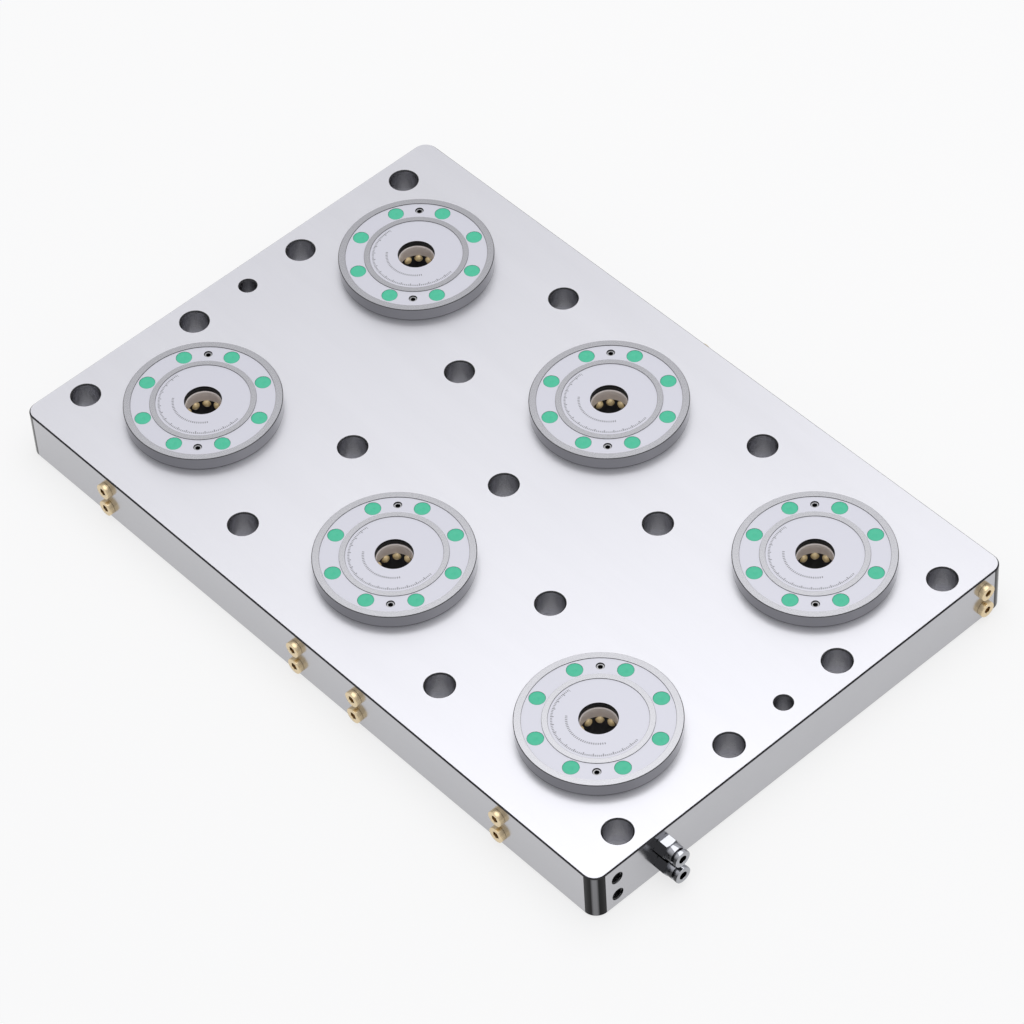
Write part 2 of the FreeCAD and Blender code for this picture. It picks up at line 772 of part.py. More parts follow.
def make_wipers():
    body = new_body("wiper_master")
    outside = "wiper_groove_radius - seat_clearance"
    top = f"{WIPER_FOOT} + wiper_height"
    turn(body, "wiper", ring_section("wiper_inside", outside, WIPER_FOOT, top))
    at_modules(body, "bore_wipers")


def cut_hex_socket(body, label, width, top, depth):
    sketch = new_sketch(body, label + "_hexagon", "XY_Plane", top)
    hexagon(sketch, width)
    pocket(body, sketch, label, depth)


def make_flange_screws():
    body = new_body("flange_screw_master")
    head_top = f"({SCREW_SEAT} + screw_head_height)"
    section = [
        ("0", f"{SCREW_SEAT} - screw_length"),
        ("screw_radius", f"{SCREW_SEAT} - screw_length"),
        ("screw_radius", SCREW_SEAT),
        ("screw_head_radius", SCREW_SEAT),
        ("screw_head_radius", head_top),
        ("0", head_top),
    ]
    turn(body, "flange_screw", section)
    cut_hex_socket(body, "flange_screw_socket", "screw_socket_width", head_top, "screw_socket_depth")
    first = "first_screw_angle"
    ring = ring_of(body, "screws_of_one_module", SCREW_CIRCLE, first, SCREWS_PER_MODULE)
    at_modules(ring, "flange_screws")


def make_screw_caps():
    cap = doc.addObject("Part::Cylinder", "cap_master")
    head_top = f"({SCREW_SEAT} + screw_head_height)"
    bind(cap, "Radius", "cap_radius")
    bind(cap, "Height", f"{RECESS} - {head_top}")
    first = "first_screw_angle"
    ring = ring_of(cap, "caps_of_one_module", SCREW_CIRCLE, first, SCREWS_PER_MODULE, head_top)
    at_modules(ring, "screw_caps")


def make_jack_screws():
    body = new_body("jack_screw_master")
    top = f"({RECESS} - jack_below_recess)"
    foot = f"{top} - jack_length"
    turn(body, "jack_screw", [("0", foot), ("jack_radius", foot), ("jack_radius", top), ("0", top)])
    cut_hex_socket(body, "jack_screw_socket", "jack_socket_width", top, "jack_socket_depth")
    ring = ring_of(body, "jacks_of_one_module", SCREW_CIRCLE, "jack_angle", JACKS_PER_MODULE)
    at_modules(ring, "jack_screws")


# the air connections

def plug_places():
    """Where the plugs sit: place on the side face, and the side that they point out of."""
    front = [(x, f"-{PLATE_SIDE}", "-Y") for x in ("-1 * module_pitch_x", "0", "link_x", "module_pitch_x")]
    rear = [("0", PLATE_SIDE, "+Y")]
    end = [(PLATE_END, HEADER_Y, "+X")]
    return front + rear + end


def make_port_plugs():
    body = new_body("plug_master")
    thread = "port_radius - plug_thread_gap"
    collar = "plug_collar_radius"
    height = "plug_collar_height"
    section = [
        ("0", "-1 * plug_thread_length"),
        (thread, "-1 * plug_thread_length"),
        (thread, "0"),
        (collar, "0"),
        (collar, f"{height} - plug_break"),
        (f"{collar} - plug_break", height),
        ("0", height),
    ]
    turn(body, "plug", section)
    cut_hex_socket(body, "plug_socket", "plug_socket_width", height, "plug_socket_depth")
    copies = []
    for x, y, side in plug_places():
        for level in ("channel_low", "channel_high"):
            copies.append(copy_of(body, f"plug_{len(copies) + 1}", x, y, level, along(side)))
    nodes.append(group("port_plugs", copies))


def at_supply_ports(thing, upper_label, lower_label):
    """Copies of a fitting's piece in the upper and the lower supply port."""
    places = ((upper_label, "channel_high"), (lower_label, "channel_low"))
    turned = along("+X")
    return [copy_of(thing, label, PLATE_END, f"-1 * {SUPPLY_Y}", level, turned) for label, level in places]


def make_fitting_bodies():
    body = new_body("fitting_master")
    sketch = new_sketch(body, "fitting_hexagon", "XY_Plane")
    hexagon(sketch, "fitting_hex_width")
    pad(body, sketch, "fitting_hex", "fitting_hex_height")
    thread = "port_radius - plug_thread_gap"
    thread_foot = "-1 * plug_thread_length"
    shell = [
        ("0", thread_foot),
        (thread, thread_foot),
        (thread, "0"),
        ("fitting_radius", "0"),
        ("fitting_radius", "fitting_height - fitting_break"),
        ("fitting_radius - fitting_break", "fitting_height"),
        ("0", "fitting_height"),
    ]
    turn(body, "fitting_shell", shell)
    corner = "fitting_hex_width / sqrt(3)"
    corner_cut = [
        (f"{corner} - fitting_hex_break", "fitting_hex_height"),
        (corner, "fitting_hex_height"),
        (corner, "fitting_hex_height - fitting_hex_break / sqrt(3)"),
    ]
    turn_out(body, "fitting_corner", corner_cut)
    tube = "tube_radius + tube_gap"
    stop = "-1 * tube_stop_depth"
    passage = [
        ("0", thread_foot),
        ("fitting_passage_radius", thread_foot),
        ("fitting_passage_radius", stop),
        (tube, stop),
        (tube, "chamber_start"),
        ("chamber_radius", "chamber_start"),
        ("chamber_radius", "fitting_height"),
        ("0", "fitting_height"),
    ]
    turn_out(body, "fitting_passage", passage)
    nodes.extend(at_supply_ports(body, "tube_fitting_upper", "tube_fitting_lower"))


def make_release_collars():
    body = new_body("collar_master")
    tube = "tube_radius + tube_gap"
    section = [
        (tube, COLLAR_FOOT),
        ("collar_neck_radius", COLLAR_FOOT),
        ("collar_neck_radius", COLLAR_FLANGE),
        ("collar_flange_radius", COLLAR_FLANGE),
        ("collar_flange_radius", f"{COLLAR_TOP} - collar_break"),
        ("collar_flange_radius - collar_break", COLLAR_TOP),
        (f"{tube} + collar_break", COLLAR_TOP),
        (tube, f"{COLLAR_TOP} - collar_break"),
    ]
    turn(body, "collar", section)
    nodes.extend(at_supply_ports(body, "release_collar_upper", "release_collar_lower"))


def make_fitting_insides():
    """The tube's sealing ring and the toothed ring that grips it, in each fitting."""
    outside = "chamber_radius - seat_clearance"
    inside = "tube_radius + tube_gap"
    seal_top = "(chamber_start + tube_seal_height)"
    grip_foot = f"({seal_top} + grip_ring_gap)"
    seal = new_body("tube_seal_master")
    turn(seal, "tube_seal", ring_section(inside, outside, "chamber_start", seal_top))
    nodes.append(group("tube_seals", at_supply_ports(seal, "tube_seal_upper", "tube_seal_lower")))
    grip = new_body("grip_ring_master")
    turn(grip, "grip_ring", ring_section(inside, outside, grip_foot, f"{grip_foot} + grip_ring_height"))
    nodes.append(group("tube_grip_rings", at_supply_ports(grip, "grip_ring_upper", "grip_ring_lower")))


def check_document():
    for item in doc.Objects:
        if "Invalid" in item.State or "Error" in item.State:
            raise ValueError(f"{item.Label} failed")
    for node in nodes:
        if node.Shape.isNull() or not node.Shape.isValid() or not node.Shape.Solids:
            raise ValueError(f"{node.Label} has no valid shape")


def write_nodes():
    os.makedirs("parts", exist_ok=True)
    for node in nodes:
        solids = node.Shape.Solids
        shape = solids[0] if len(solids) == 1 else Part.makeCompound(solids)
        shape.exportStep(f"parts/{node.Label}.step")


def main():
    write_sizes()
    make_base_plate()
    make_housings()
    make_chamber_covers()
    make_ball_cages()
    make_lock_balls()
    make_pistons()
    make_piston_seals()
    make_disc_springs()
    make_housing_rings()
    make_wipers()
    make_flange_screws()
    make_screw_caps()
    make_jack_screws()
    make_port_plugs()
    make_fitting_bodies()
    make_release_collars()
    make_fitting_insides()
    doc.recompute()
    check_document()
    write_nodes()


main()
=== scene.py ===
"""Looks for a pneumatic zero point clamping plate: finishes, turned pieces and a plain studio."""

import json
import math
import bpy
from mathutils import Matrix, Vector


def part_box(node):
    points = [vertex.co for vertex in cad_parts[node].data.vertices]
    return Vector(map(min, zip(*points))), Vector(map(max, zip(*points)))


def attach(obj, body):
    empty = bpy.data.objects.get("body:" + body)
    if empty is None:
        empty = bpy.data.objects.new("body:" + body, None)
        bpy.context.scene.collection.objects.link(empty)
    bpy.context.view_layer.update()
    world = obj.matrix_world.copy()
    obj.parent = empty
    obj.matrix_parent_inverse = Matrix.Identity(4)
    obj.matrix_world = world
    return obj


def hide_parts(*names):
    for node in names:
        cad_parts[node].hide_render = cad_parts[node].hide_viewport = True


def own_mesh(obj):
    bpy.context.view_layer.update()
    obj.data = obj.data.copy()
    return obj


bl_info = {
    "name": "Zero Point Clamping Plate",
    "version": (1, 0, 0),
    "blender": (4, 5, 0),
    "location": "View3D > Sidebar > Clamping Plate",
    "description": "Finishes the clamping plate, makes its small turned pieces and sets up a plain studio",
    "category": "Object",
}

import bmesh
import bpy
from bpy.props import FloatProperty, FloatVectorProperty, IntProperty, PointerProperty
from mathutils import Matrix, Vector

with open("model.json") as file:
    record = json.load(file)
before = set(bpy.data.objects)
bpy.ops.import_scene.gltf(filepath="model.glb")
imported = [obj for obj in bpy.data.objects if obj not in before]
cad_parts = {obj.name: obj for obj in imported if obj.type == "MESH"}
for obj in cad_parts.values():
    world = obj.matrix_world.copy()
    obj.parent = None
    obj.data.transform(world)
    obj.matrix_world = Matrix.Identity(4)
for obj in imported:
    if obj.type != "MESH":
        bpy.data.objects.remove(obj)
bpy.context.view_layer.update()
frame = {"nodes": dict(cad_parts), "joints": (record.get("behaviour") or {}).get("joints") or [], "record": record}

MODULES = 6
SCREWS_PER_MODULE = 8
JACKS_PER_MODULE = 2
BALL_DIRECTIONS = 10
MM = 0.001
FULL_TURN = 2 * math.pi

# where the finishes and the painted shade change, in millimetres
SIDE_BAND = 9
INNER_RING_INSIDE = 33.5
INNER_RING_OUTSIDE = 37.25
SEAT_RING_INSIDE = 50.9
STEP_SHADE_RADII = (33.4, 37.4, 50.85)
STEP_SHADE_WIDTH = 0.28
FACE_EDGE = 52
FLANGE_EDGE = 55
FOOT_SHADE_HEIGHT = 0.5
LAND_START = 0.3
SOCKET_START = 0.12
TUBE_BORE_MARGIN = 0.05

# how much of a surface's direction lies along an axis: a face square to it has the first or more,
# a chamfer the second or more
FLAT = 0.9
SLOPED = 0.3

# pieces in the plate, in metres and degrees
CROSS_CHANNEL = 0.06
PORT_DEPTH = 0.008
PORT_PLAY = 0.00005
THREAD_PLAY = 0.00002
THREAD_REACH = 0.0098
THREAD_LENGTH = 0.0092
THREAD_SEGMENTS = 36
JACK_ANGLE = 135
CAP_ANGLE = 180 / SCREWS_PER_MODULE

# the stage, in metres
FLOOR_GAP = 0.0002
CAMERA_REACH = 100


# what the frame says

def mount_place(name):
    """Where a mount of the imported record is."""
    return Vector(next(item["pos_m"] for item in frame["record"]["mounts"] if item["name"] == name))


def mount_radius(name):
    """The radius of a mount's bore, in metres."""
    return next(item["dims"]["r_mm"] for item in frame["record"]["mounts"] if item["name"] == name) * MM


def module_nodes(name):
    """The six nodes of one kind, such as the pistons."""
    return [f"{name}_{index}" for index in range(1, MODULES + 1)]


def module_centres():
    """The six module axes where they cross the underside of the plate."""
    places = [mount_place(f"nipple_bore_{index}") for index in range(1, MODULES + 1)]
    return [Vector((place.x, place.y, 0)) for place in places]


def module_pitch():
    """The distance between neighbouring module axes."""
    centres = module_centres()
    return centres[1].x - centres[0].x


def plate_box():
    """The lowest and the highest corner of the plate."""
    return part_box("base_plate")


# sizes and colours that a user may change

class PieceSizes(bpy.types.PropertyGroup):
    """Sizes of the small pieces that are made here."""

    screw_circle: FloatProperty(
        name="Screw circle", description="Radius of the circle that carries the flange screws",
        default=0.044, unit="LENGTH")
    cap_edge: FloatProperty(
        name="Cap edge", description="Width of the rounded rim of a screw cap",
        default=0.0004, unit="LENGTH")
    cap_dimple: FloatProperty(
        name="Cap dimple", description="Radius of the moulding mark in a cap's middle",
        default=0.0009, unit="LENGTH")
    jack_socket: FloatProperty(
        name="Jack socket", description="Width across flats of a jack screw's socket",
        default=0.003, unit="LENGTH")
    plug_socket: FloatProperty(
        name="Plug socket", description="Width across flats of a port plug's socket",
        default=0.005, unit="LENGTH")
    plug_edge: FloatProperty(
        name="Plug edge", description="Width of the bevel round a plug's collar",
        default=0.0004, unit="LENGTH")
    fitting_hexagon: FloatProperty(
        name="Fitting hexagon", description="Width across flats of the tube fittings",
        default=0.014, unit="LENGTH")
    thread_pitch: FloatProperty(
        name="Thread pitch", description="Pitch of the pipe thread in the ports",
        default=0.000907, unit="LENGTH")
    thread_depth: FloatProperty(
        name="Thread depth", description="Height of the pipe thread's ridges",
        default=0.00058, unit="LENGTH")
    segments: IntProperty(
        name="Segments", description="Faces round a turned piece", default=72, min=24)


class FinishColours(bpy.types.PropertyGroup):
    """Colours of the finishes."""

    steel: FloatVectorProperty(
        name="Ground steel", description="Colour of the plate", subtype="COLOR",
        default=(0.765, 0.765, 0.80))
    module: FloatVectorProperty(
        name="Module steel", description="Colour of the module faces", subtype="COLOR",
        default=(0.69, 0.69, 0.75))
    dark_steel: FloatVectorProperty(
        name="Hardened steel", description="Colour of the pistons and the graduations", subtype="COLOR",
        default=(0.36, 0.36, 0.38))
    cage_land: FloatVectorProperty(
        name="Cage land", description="Colour of the ground land above the balls", subtype="COLOR",
        default=(0.97, 0.89, 0.85))
    spring: FloatVectorProperty(
        name="Spring steel", description="Colour of disc springs and grip rings", subtype="COLOR",
        default=(0.20, 0.20, 0.22))
    aluminium: FloatVectorProperty(
        name="Aluminium", description="Colour of chamber covers and jack screws", subtype="COLOR",
        default=(0.72, 0.72, 0.74))
    ball: FloatVectorProperty(
        name="Ball coating", description="Colour of the coated balls", subtype="COLOR",
        default=(1.0, 0.81, 0.46))
    brass: FloatVectorProperty(
        name="Brass", description="Colour of the port plugs", subtype="COLOR",
        default=(0.78, 0.63, 0.40))
    chrome: FloatVectorProperty(
        name="Chrome", description="Colour of the tube fittings", subtype="COLOR",
        default=(0.52, 0.53, 0.56))
    cap: FloatVectorProperty(
        name="Cap plastic", description="Colour of the screw caps", subtype="COLOR",
        default=(0.075, 0.60, 0.37))
    # Black oxide on the flange screws; the same near black is also the painted shade in the cages, the jack
    # sockets and the fitting bores.
    black_oxide_and_shade: FloatVectorProperty(
        name="Blackened steel", description="Colour of screws, cages and bores", subtype="COLOR",
        default=(0.03, 0.03, 0.033))
    rubber: FloatVectorProperty(
        name="Rubber", description="Colour of the seals", subtype="COLOR",
        default=(0.012, 0.012, 0.013))


class StudioSettings(bpy.types.PropertyGroup):
    """The camera and the light."""

    camera_azimuth: FloatProperty(
        name="Azimuth", description="Direction of the camera round the plate", subtype="ANGLE",
        default=math.radians(50.205))
    camera_elevation: FloatProperty(
        name="Elevation", description="Height of the camera above the horizon", subtype="ANGLE",
        default=math.radians(48.590))
    camera_roll: FloatProperty(
        name="Roll", description="Tilt of the camera about its view", subtype="ANGLE",
        default=math.radians(-3.987))
    camera_distance: FloatProperty(
        name="Distance", description="Distance from the camera to its target",
        default=3.0739, unit="LENGTH")
    camera_target: FloatVectorProperty(
        name="Target", description="The point that the camera looks at", subtype="XYZ", unit="LENGTH",
        default=(0.02895, -0.01854, 0.050))
    lens: FloatProperty(
        name="Lens", description="Focal length on the sensor's width, in millimetres", default=159.44)
    sensor_width: FloatProperty(
        name="Sensor", description="Width of the sensor, in millimetres", default=36)
    softbox_brightness: FloatProperty(
        name="Softbox", description="Brightness of the softbox, where 1 is white", default=1.16)
    softbox_height: FloatProperty(
        name="Softbox height", description="Height of the softbox above the floor",
        default=2.6, unit="LENGTH")
    surroundings: FloatProperty(
        name="Surroundings", description="Brightness of the even light from all sides", default=0.60)
    floor_size: FloatProperty(
        name="Floor", description="Side of the floor", default=30.0, unit="LENGTH")


# shader maths

class Value:
    """A shader socket that can be used in Python expressions."""

    def __init__(self, graph, socket):
        self.graph = graph
        self.socket = socket

    def maths(self, operation, *values):
        return self.graph.node("ShaderNodeMath", {"operation": operation}, dict(enumerate(values)))

    def __add__(self, other):
        return self.maths("ADD", self, other)

    def __radd__(self, other):
        return self.maths("ADD", other, self)

    def __sub__(self, other):
        return self.maths("SUBTRACT", self, other)

    def __rsub__(self, other):
        return self.maths("SUBTRACT", other, self)

    def __mul__(self, other):
        return self.maths("MULTIPLY", self, other)

    def __rmul__(self, other):
        return self.maths("MULTIPLY", other, self)

    def __truediv__(self, other):
        return self.maths("DIVIDE", self, other)

    def __abs__(self):
        return self.maths("ABSOLUTE", self)

    def __gt__(self, other):
        return self.maths("GREATER_THAN", self, other)

    def __lt__(self, other):
        return self.maths("LESS_THAN", self, other)

    def or_more(self, other):
        """The greater of two values, which is also the union of two masks."""
        return self.maths("MAXIMUM", self, other)

    def root(self):
        return self.maths("SQRT", self)

    def wrapped(self, low, high):
        """The value folded into a range, so that a pattern repeats."""
        return self.maths("WRAP", self, high, low)

    def between(self, low, high):
        """1 where the value lies in a range, otherwise 0."""
        return (self > low) * (self < high)


class Graph:
    """The nodes of one material or world."""

    def __init__(self, tree):
        self.tree = tree
        tree.nodes.clear()

    def node(self, kind, settings=None, inputs=None, output=0):
        """Add a node with its settings and inputs and return one of its outputs."""
        node = self.tree.nodes.new(kind)
        for name, value in (settings or {}).items():
            if name == "stops":
                self.set_stops(node, value)
            else:
                setattr(node, name, value)
        for name, value in (inputs or {}).items():
            if isinstance(value, Value):
                self.tree.links.new(value.socket, node.inputs[name])
            else:
                node.inputs[name].default_value = value
        return Value(self, node.outputs[output]) if node.outputs else None

    def set_stops(self, node, stops):
        """Set a colour ramp's stops, given as places and greys."""
        elements = node.color_ramp.elements
        while len(elements) < len(stops):
            elements.new(1.0)
        for element, (place, grey) in zip(elements, stops):
            element.position = place
            element.color = (grey, grey, grey, 1)

    def position_mm(self):
        """The three coordinates of the surface in the part's frame, in millimetres."""
        place = self.node("ShaderNodeTexCoord", output="Object")
        axes = [self.node("ShaderNodeSeparateXYZ", inputs={0: place}, output=axis) for axis in "XYZ"]
        return [axis / MM for axis in axes]

    def place_mm(self):
        """The place of the surface as one vector, in millimetres."""
        return self.joined(*self.position_mm())

    def facing(self):
        """The three parts of the surface's own direction."""
        normal = self.node("ShaderNodeTexCoord", output="Normal")
        return [self.node("ShaderNodeSeparateXYZ", inputs={0: normal}, output=axis) for axis in "XYZ"]

    def joined(self, x, y, z):
        """Three values as one vector."""
        return self.node("ShaderNodeCombineXYZ", inputs={0: x, 1: y, 2: z})

    def noise(self, place, scale=1.0, detail=3.0, roughness=0.5):
        """Noise in space, around 0.5."""
        settings = {"noise_dimensions": "3D"}
        inputs = {"Vector": place, "Scale": scale, "Detail": detail, "Roughness": roughness}
        return self.node("ShaderNodeTexNoise", settings, inputs, "Fac")

    def line_noise(self, value, detail=2.0):
        """Noise along one value, around 0.5."""
        settings = {"noise_dimensions": "1D"}
        inputs = {"W": value, "Scale": 1.0, "Detail": detail}
        return self.node("ShaderNodeTexNoise", settings, inputs, "Fac")

    def ramp(self, value, stops):
        """A grey for each value, between the given stops."""
        return self.node("ShaderNodeValToRGB", {"stops": stops}, {"Fac": value})

    def mix(self, amount, first, second):
        """A colour between two colours."""
        settings = {"data_type": "RGBA"}
        return self.node("ShaderNodeMix", settings, {0: amount, 6: first, 7: second}, 2)

    def bump(self, height, strength, distance):
        """The surface's direction over a fine relief."""
        inputs = {"Height": height, "Strength": strength, "Distance": distance}
        return self.node("ShaderNodeBump", inputs=inputs, output="Normal")

    def multiply(self, first, second):
        """A colour times another colour."""
        settings = {"data_type": "RGBA", "blend_type": "MULTIPLY"}
        return self.node("ShaderNodeMix", settings, {0: 1.0, 6: first, 7: second}, 2)

    def seen(self):
        """1 for the camera, reflections and views through glass; 0 for the light on the part."""
        path = "ShaderNodeLightPath"
        seen = self.node(path, output="Is Camera Ray").or_more(self.node(path, output="Is Glossy Ray"))
        return seen.or_more(self.node(path, output="Is Transmission Ray"))

    def surface(self, **inputs):
        """A principled surface; its sockets are named with underscores for spaces."""
        sockets = {name.replace("_", " "): value for name, value in inputs.items()}
        shader = self.node("ShaderNodeBsdfPrincipled", inputs=sockets)
        self.node("ShaderNodeOutputMaterial", inputs={"Surface": shader})


def solid(colour, factor=1.0):
    """A colour with its alpha, made lighter or darker by a factor."""
    return (colour[0] * factor, colour[1] * factor, colour[2] * factor, 1.0)


def new_material(name):
    """A new material and its graph."""
    material = bpy.data.materials.new(name)
    material.use_nodes = True
    return material, Graph(material.node_tree)


# finishes

def ground_steel(colours):
    """The plate: a ground top with lines along its length, milled sides, drilled hole walls; the sides and the
    hole walls are painted darker than the top, as painted shade.

    Its chamfers and rounded corners carry painted dark reflections, the dark lines that bright metal shows there
    in a studio.
    """
    material, graph = new_material("ground_steel")
    x, y, z = graph.position_mm()
    ahead, across, up = graph.facing()
    high = plate_box()[1] / MM
    outer = (abs(x) > high.x - SIDE_BAND).or_more(abs(y) > high.y - SIDE_BAND)
    flat = abs(up) > FLAT
    side = outer * (1 - flat)
    wall = (1 - flat) * (1 - outer)
    # Painted reflection: every chamfer, round the holes too, is painted nearly black.
    chamfer = abs(up).between(SLOPED, FLAT)
    # Painted reflection: dark streaks on the rounded corners, with a lighter middle.
    painted_corner_reflection_stops = ((0.0, 0.0), (0.08, 1.0), (0.43, 1.0), (0.49, 0.62))
    corner = graph.ramp(abs(ahead * across) * side, painted_corner_reflection_stops)
    lines = graph.noise(graph.joined(x * 0.03, y * 2.4, z * 2.4), detail=4.0, roughness=0.6)
    bands = graph.noise(graph.joined(x * 0.004, y * 0.05, z * 0.05), detail=2.0)
    marks = graph.noise(graph.joined(x * 0.4, y * 0.4, z * 3.0), detail=2.0)
    # Painted shade: the sides and the hole walls are darker than the top.
    shade = graph.mix(side, solid(colours.steel), solid(colours.steel, 0.66))
    shade = graph.mix(wall, shade, solid(colours.steel, 0.62))
    # Painted reflection: near-black corners and chamfers.
    shade = graph.mix(corner, shade, solid(colours.steel, 0.015))
    shade = graph.mix(chamfer, shade, solid(colours.steel, 0.07))
    tone = graph.ramp(lines * 0.5 + bands * 0.5, ((0.30, 0.96), (0.70, 1.0)))
    colour = graph.multiply(shade, tone)
    roughness = 0.34 + lines * 0.06 + bands * 0.02 - wall * (0.14 - marks * 0.1) - side * 0.20
    normal = graph.bump(lines * (1 - wall) + marks * wall, 0.05, 0.0002)
    graph.surface(Base_Color=colour, Metallic=1.0, Roughness=roughness, Normal=normal)
    return material


def module_coordinates(x, y):
    """Distance from the nearest module's axis and the turn round it.

    The modules stand in two rows, half a pitch to either side of y = 0.
    """
    pitch = module_pitch() / MM
    across = x.wrapped(-pitch / 2, pitch / 2)
    back = y.wrapped(0, pitch) - pitch / 2
    radius = (across * across + back * back).root()
    return radius, back.maths("ARCTAN2", back, across)


def ticks(radius, degrees, inside, outside, spacing, width):
    """Short radial lines all round between two radii; their spacing and width are in degrees."""
    on_line = abs(degrees.wrapped(-spacing / 2, spacing / 2)) < width / 2
    return radius.between(inside, outside) * on_line


def scale_marks(radius, turn):
    """Engraved graduations: two arcs of short ticks on the module's face."""
    degrees = turn * (180 / math.pi)
    from_start = (degrees - 175).wrapped(0, 360)
    fine = ticks(radius, degrees, inside=30.3, outside=31.7, spacing=2.5, width=1.0)
    coarse = ticks(radius, degrees, inside=29.4, outside=31.7, spacing=12.5, width=1.2)
    inner = ticks(radius, degrees, inside=20.4, outside=22.0, spacing=4.0, width=1.6)
    outer_arc = fine.or_more(coarse) * (from_start < 196)
    inner_arc = inner * from_start.between(43, 155)
    return outer_arc.or_more(inner_arc)


def painted_step_shade(radius):
    """Painted shade: fine dark lines on the face beside the steps of its raised rings."""
    first, second, third = [abs(radius - step) < STEP_SHADE_WIDTH / 2 for step in STEP_SHADE_RADII]
    return first.or_more(second).or_more(third)


def module_steel(colours):
    """The housings: a fine blasted face, ground raised rings and a turned flange, with painted shade on the
    flange's side, foot and rim and at the steps of the rings.
    """
    material, graph = new_material("module_steel")
    x, y, z = graph.position_mm()
    radius, turn = module_coordinates(x, y)
    up = graph.facing()[2]
    seat_ring = radius > SEAT_RING_INSIDE
    inner_ring = radius.between(INNER_RING_INSIDE, INNER_RING_OUTSIDE)
    ground = seat_ring.or_more(inner_ring)
    flat = up > FLAT
    side = 1 - flat
    marks = scale_marks(radius, turn) * flat
    lines = painted_step_shade(radius) * flat
    # Painted shade: masks for the step walls, the flange's foot and its rim chamfer.
    steps = side * (radius < FACE_EDGE)
    foot = side * (radius > FLANGE_EDGE) * (z < plate_box()[1].z / MM + FOOT_SHADE_HEIGHT)
    rim = (side * (up > SLOPED) * (radius > FLANGE_EDGE)).or_more(foot)
    grain = graph.noise(graph.place_mm(), scale=6.0, detail=3.0)
    turned = graph.line_noise(radius * 9.0 + z * 7.0)
    face = graph.mix(ground, solid(colours.module), solid(colours.steel, 0.68))
    # Painted shade: the sides are darker than the face, and the steps, the lines beside them, the foot and the rim
    # are darker still.
    shade = graph.mix(side, face, solid(colours.steel, 0.37))
    shade = graph.mix(steps.or_more(lines * 0.7).or_more(rim), shade, solid(colours.steel, 0.15))
    colour = graph.mix(marks * 0.9, shade, solid(colours.dark_steel, 0.4))
    roughness = 0.46 - ground * 0.26 - side * 0.20 + turned * 0.06 + grain * 0.06
    relief = turned * (ground + side * 0.5) * 0.4 + grain * (1 - ground) * 0.4 - marks * 2.0
    normal = graph.bump(relief, 0.12, 0.0001)
    metallic = 0.75 + ground.or_more(side) * 0.25 - marks * 0.5
    graph.surface(Base_Color=colour, Metallic=metallic, Roughness=roughness, Normal=normal)
    return material


def plain_metal(name, colour, roughness, lines=3.0):
    """Turned or ground metal with faint rings across its axis and a slight change of tone."""
    material, graph = new_material(name)
    x, y, z = graph.position_mm()
    rings = graph.noise(graph.joined(x * 0.3, y * 0.3, z * lines), detail=3.0)
    cloud = graph.noise(graph.place_mm(), scale=0.15)
    tone = graph.mix(rings * 0.5 + cloud * 0.5, solid(colour, 0.88), solid(colour, 1.08))
    normal = graph.bump(rings, 0.08, 0.0001)
    graph.surface(Base_Color=tone, Metallic=1.0, Roughness=roughness + rings * 0.08, Normal=normal)
    return material


def fitting_chrome(colours):
    """The fittings: chrome with painted reflections, bright where they face up, dark below and to the sides,
    lighter on faces that point straight out, and painted shade in their bores.
    """
    material, graph = new_material("chrome")
    _, y, z = graph.position_mm()
    ahead, _, up = graph.facing()
    upper, lower = [mount_place(f"tube_{level}") / MM for level in ("upper", "lower")]
    beside = y - upper.y
    above = abs(z - (upper.z + lower.z) / 2) - (upper.z - lower.z) / 2
    from_axis = (beside * beside + above * above).root()
    bore = from_axis < mount_radius("tube_upper") / MM + TUBE_BORE_MARGIN
    # Painted reflection: up-facing faces bright, sides and undersides dark, outward faces mid grey.
    painted_top_reflection = graph.ramp(up, ((0.55, 0.0), (0.85, 1.0)))
    colour = graph.mix(painted_top_reflection, solid(colours.chrome, 0.12), solid(colours.chrome))
    colour = graph.mix(ahead > FLAT, colour, solid(colours.chrome, 0.75))
    # Painted shade: the bores are near black.
    colour = graph.mix(bore, colour, solid(colours.black_oxide_and_shade, 0.5))
    cloud = graph.noise(graph.place_mm(), scale=0.5)
    graph.surface(Base_Color=colour, Metallic=1.0, Roughness=0.06 + cloud * 0.06)
    return material


def cage_steel(colours):
    """The ball cage: a bright ground land at the top, and painted shade, near black, round the balls and below
    them.
    """
    material, graph = new_material("cage_steel")
    x, y, z = graph.position_mm()
    rings = graph.noise(graph.joined(x * 0.2, y * 0.2, z * 4.0), detail=3.0)
    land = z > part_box("lock_balls_01")[1].z / MM - LAND_START
    bright = graph.mix(rings, solid(colours.cage_land, 0.85), solid(colours.cage_land, 1.1))
    # Painted shade: below the land the cage is near black.
    colour = graph.mix(land, solid(colours.black_oxide_and_shade), bright)
    normal = graph.bump(rings, 0.08, 0.0001)
    graph.surface(Base_Color=colour, Metallic=0.1, Roughness=0.30 + rings * 0.1, Normal=normal)
    return material


def ball_coating(colours):
    """The balls' smooth gold coating."""
    material, graph = new_material("ball_coating")
    cloud = graph.noise(graph.place_mm(), scale=0.6, detail=2.0)
    colour = graph.mix(cloud, solid(colours.ball, 0.9), solid(colours.ball, 1.08))
    graph.surface(Base_Color=colour, Metallic=0.1, Roughness=0.18 + cloud * 0.06)
    return material


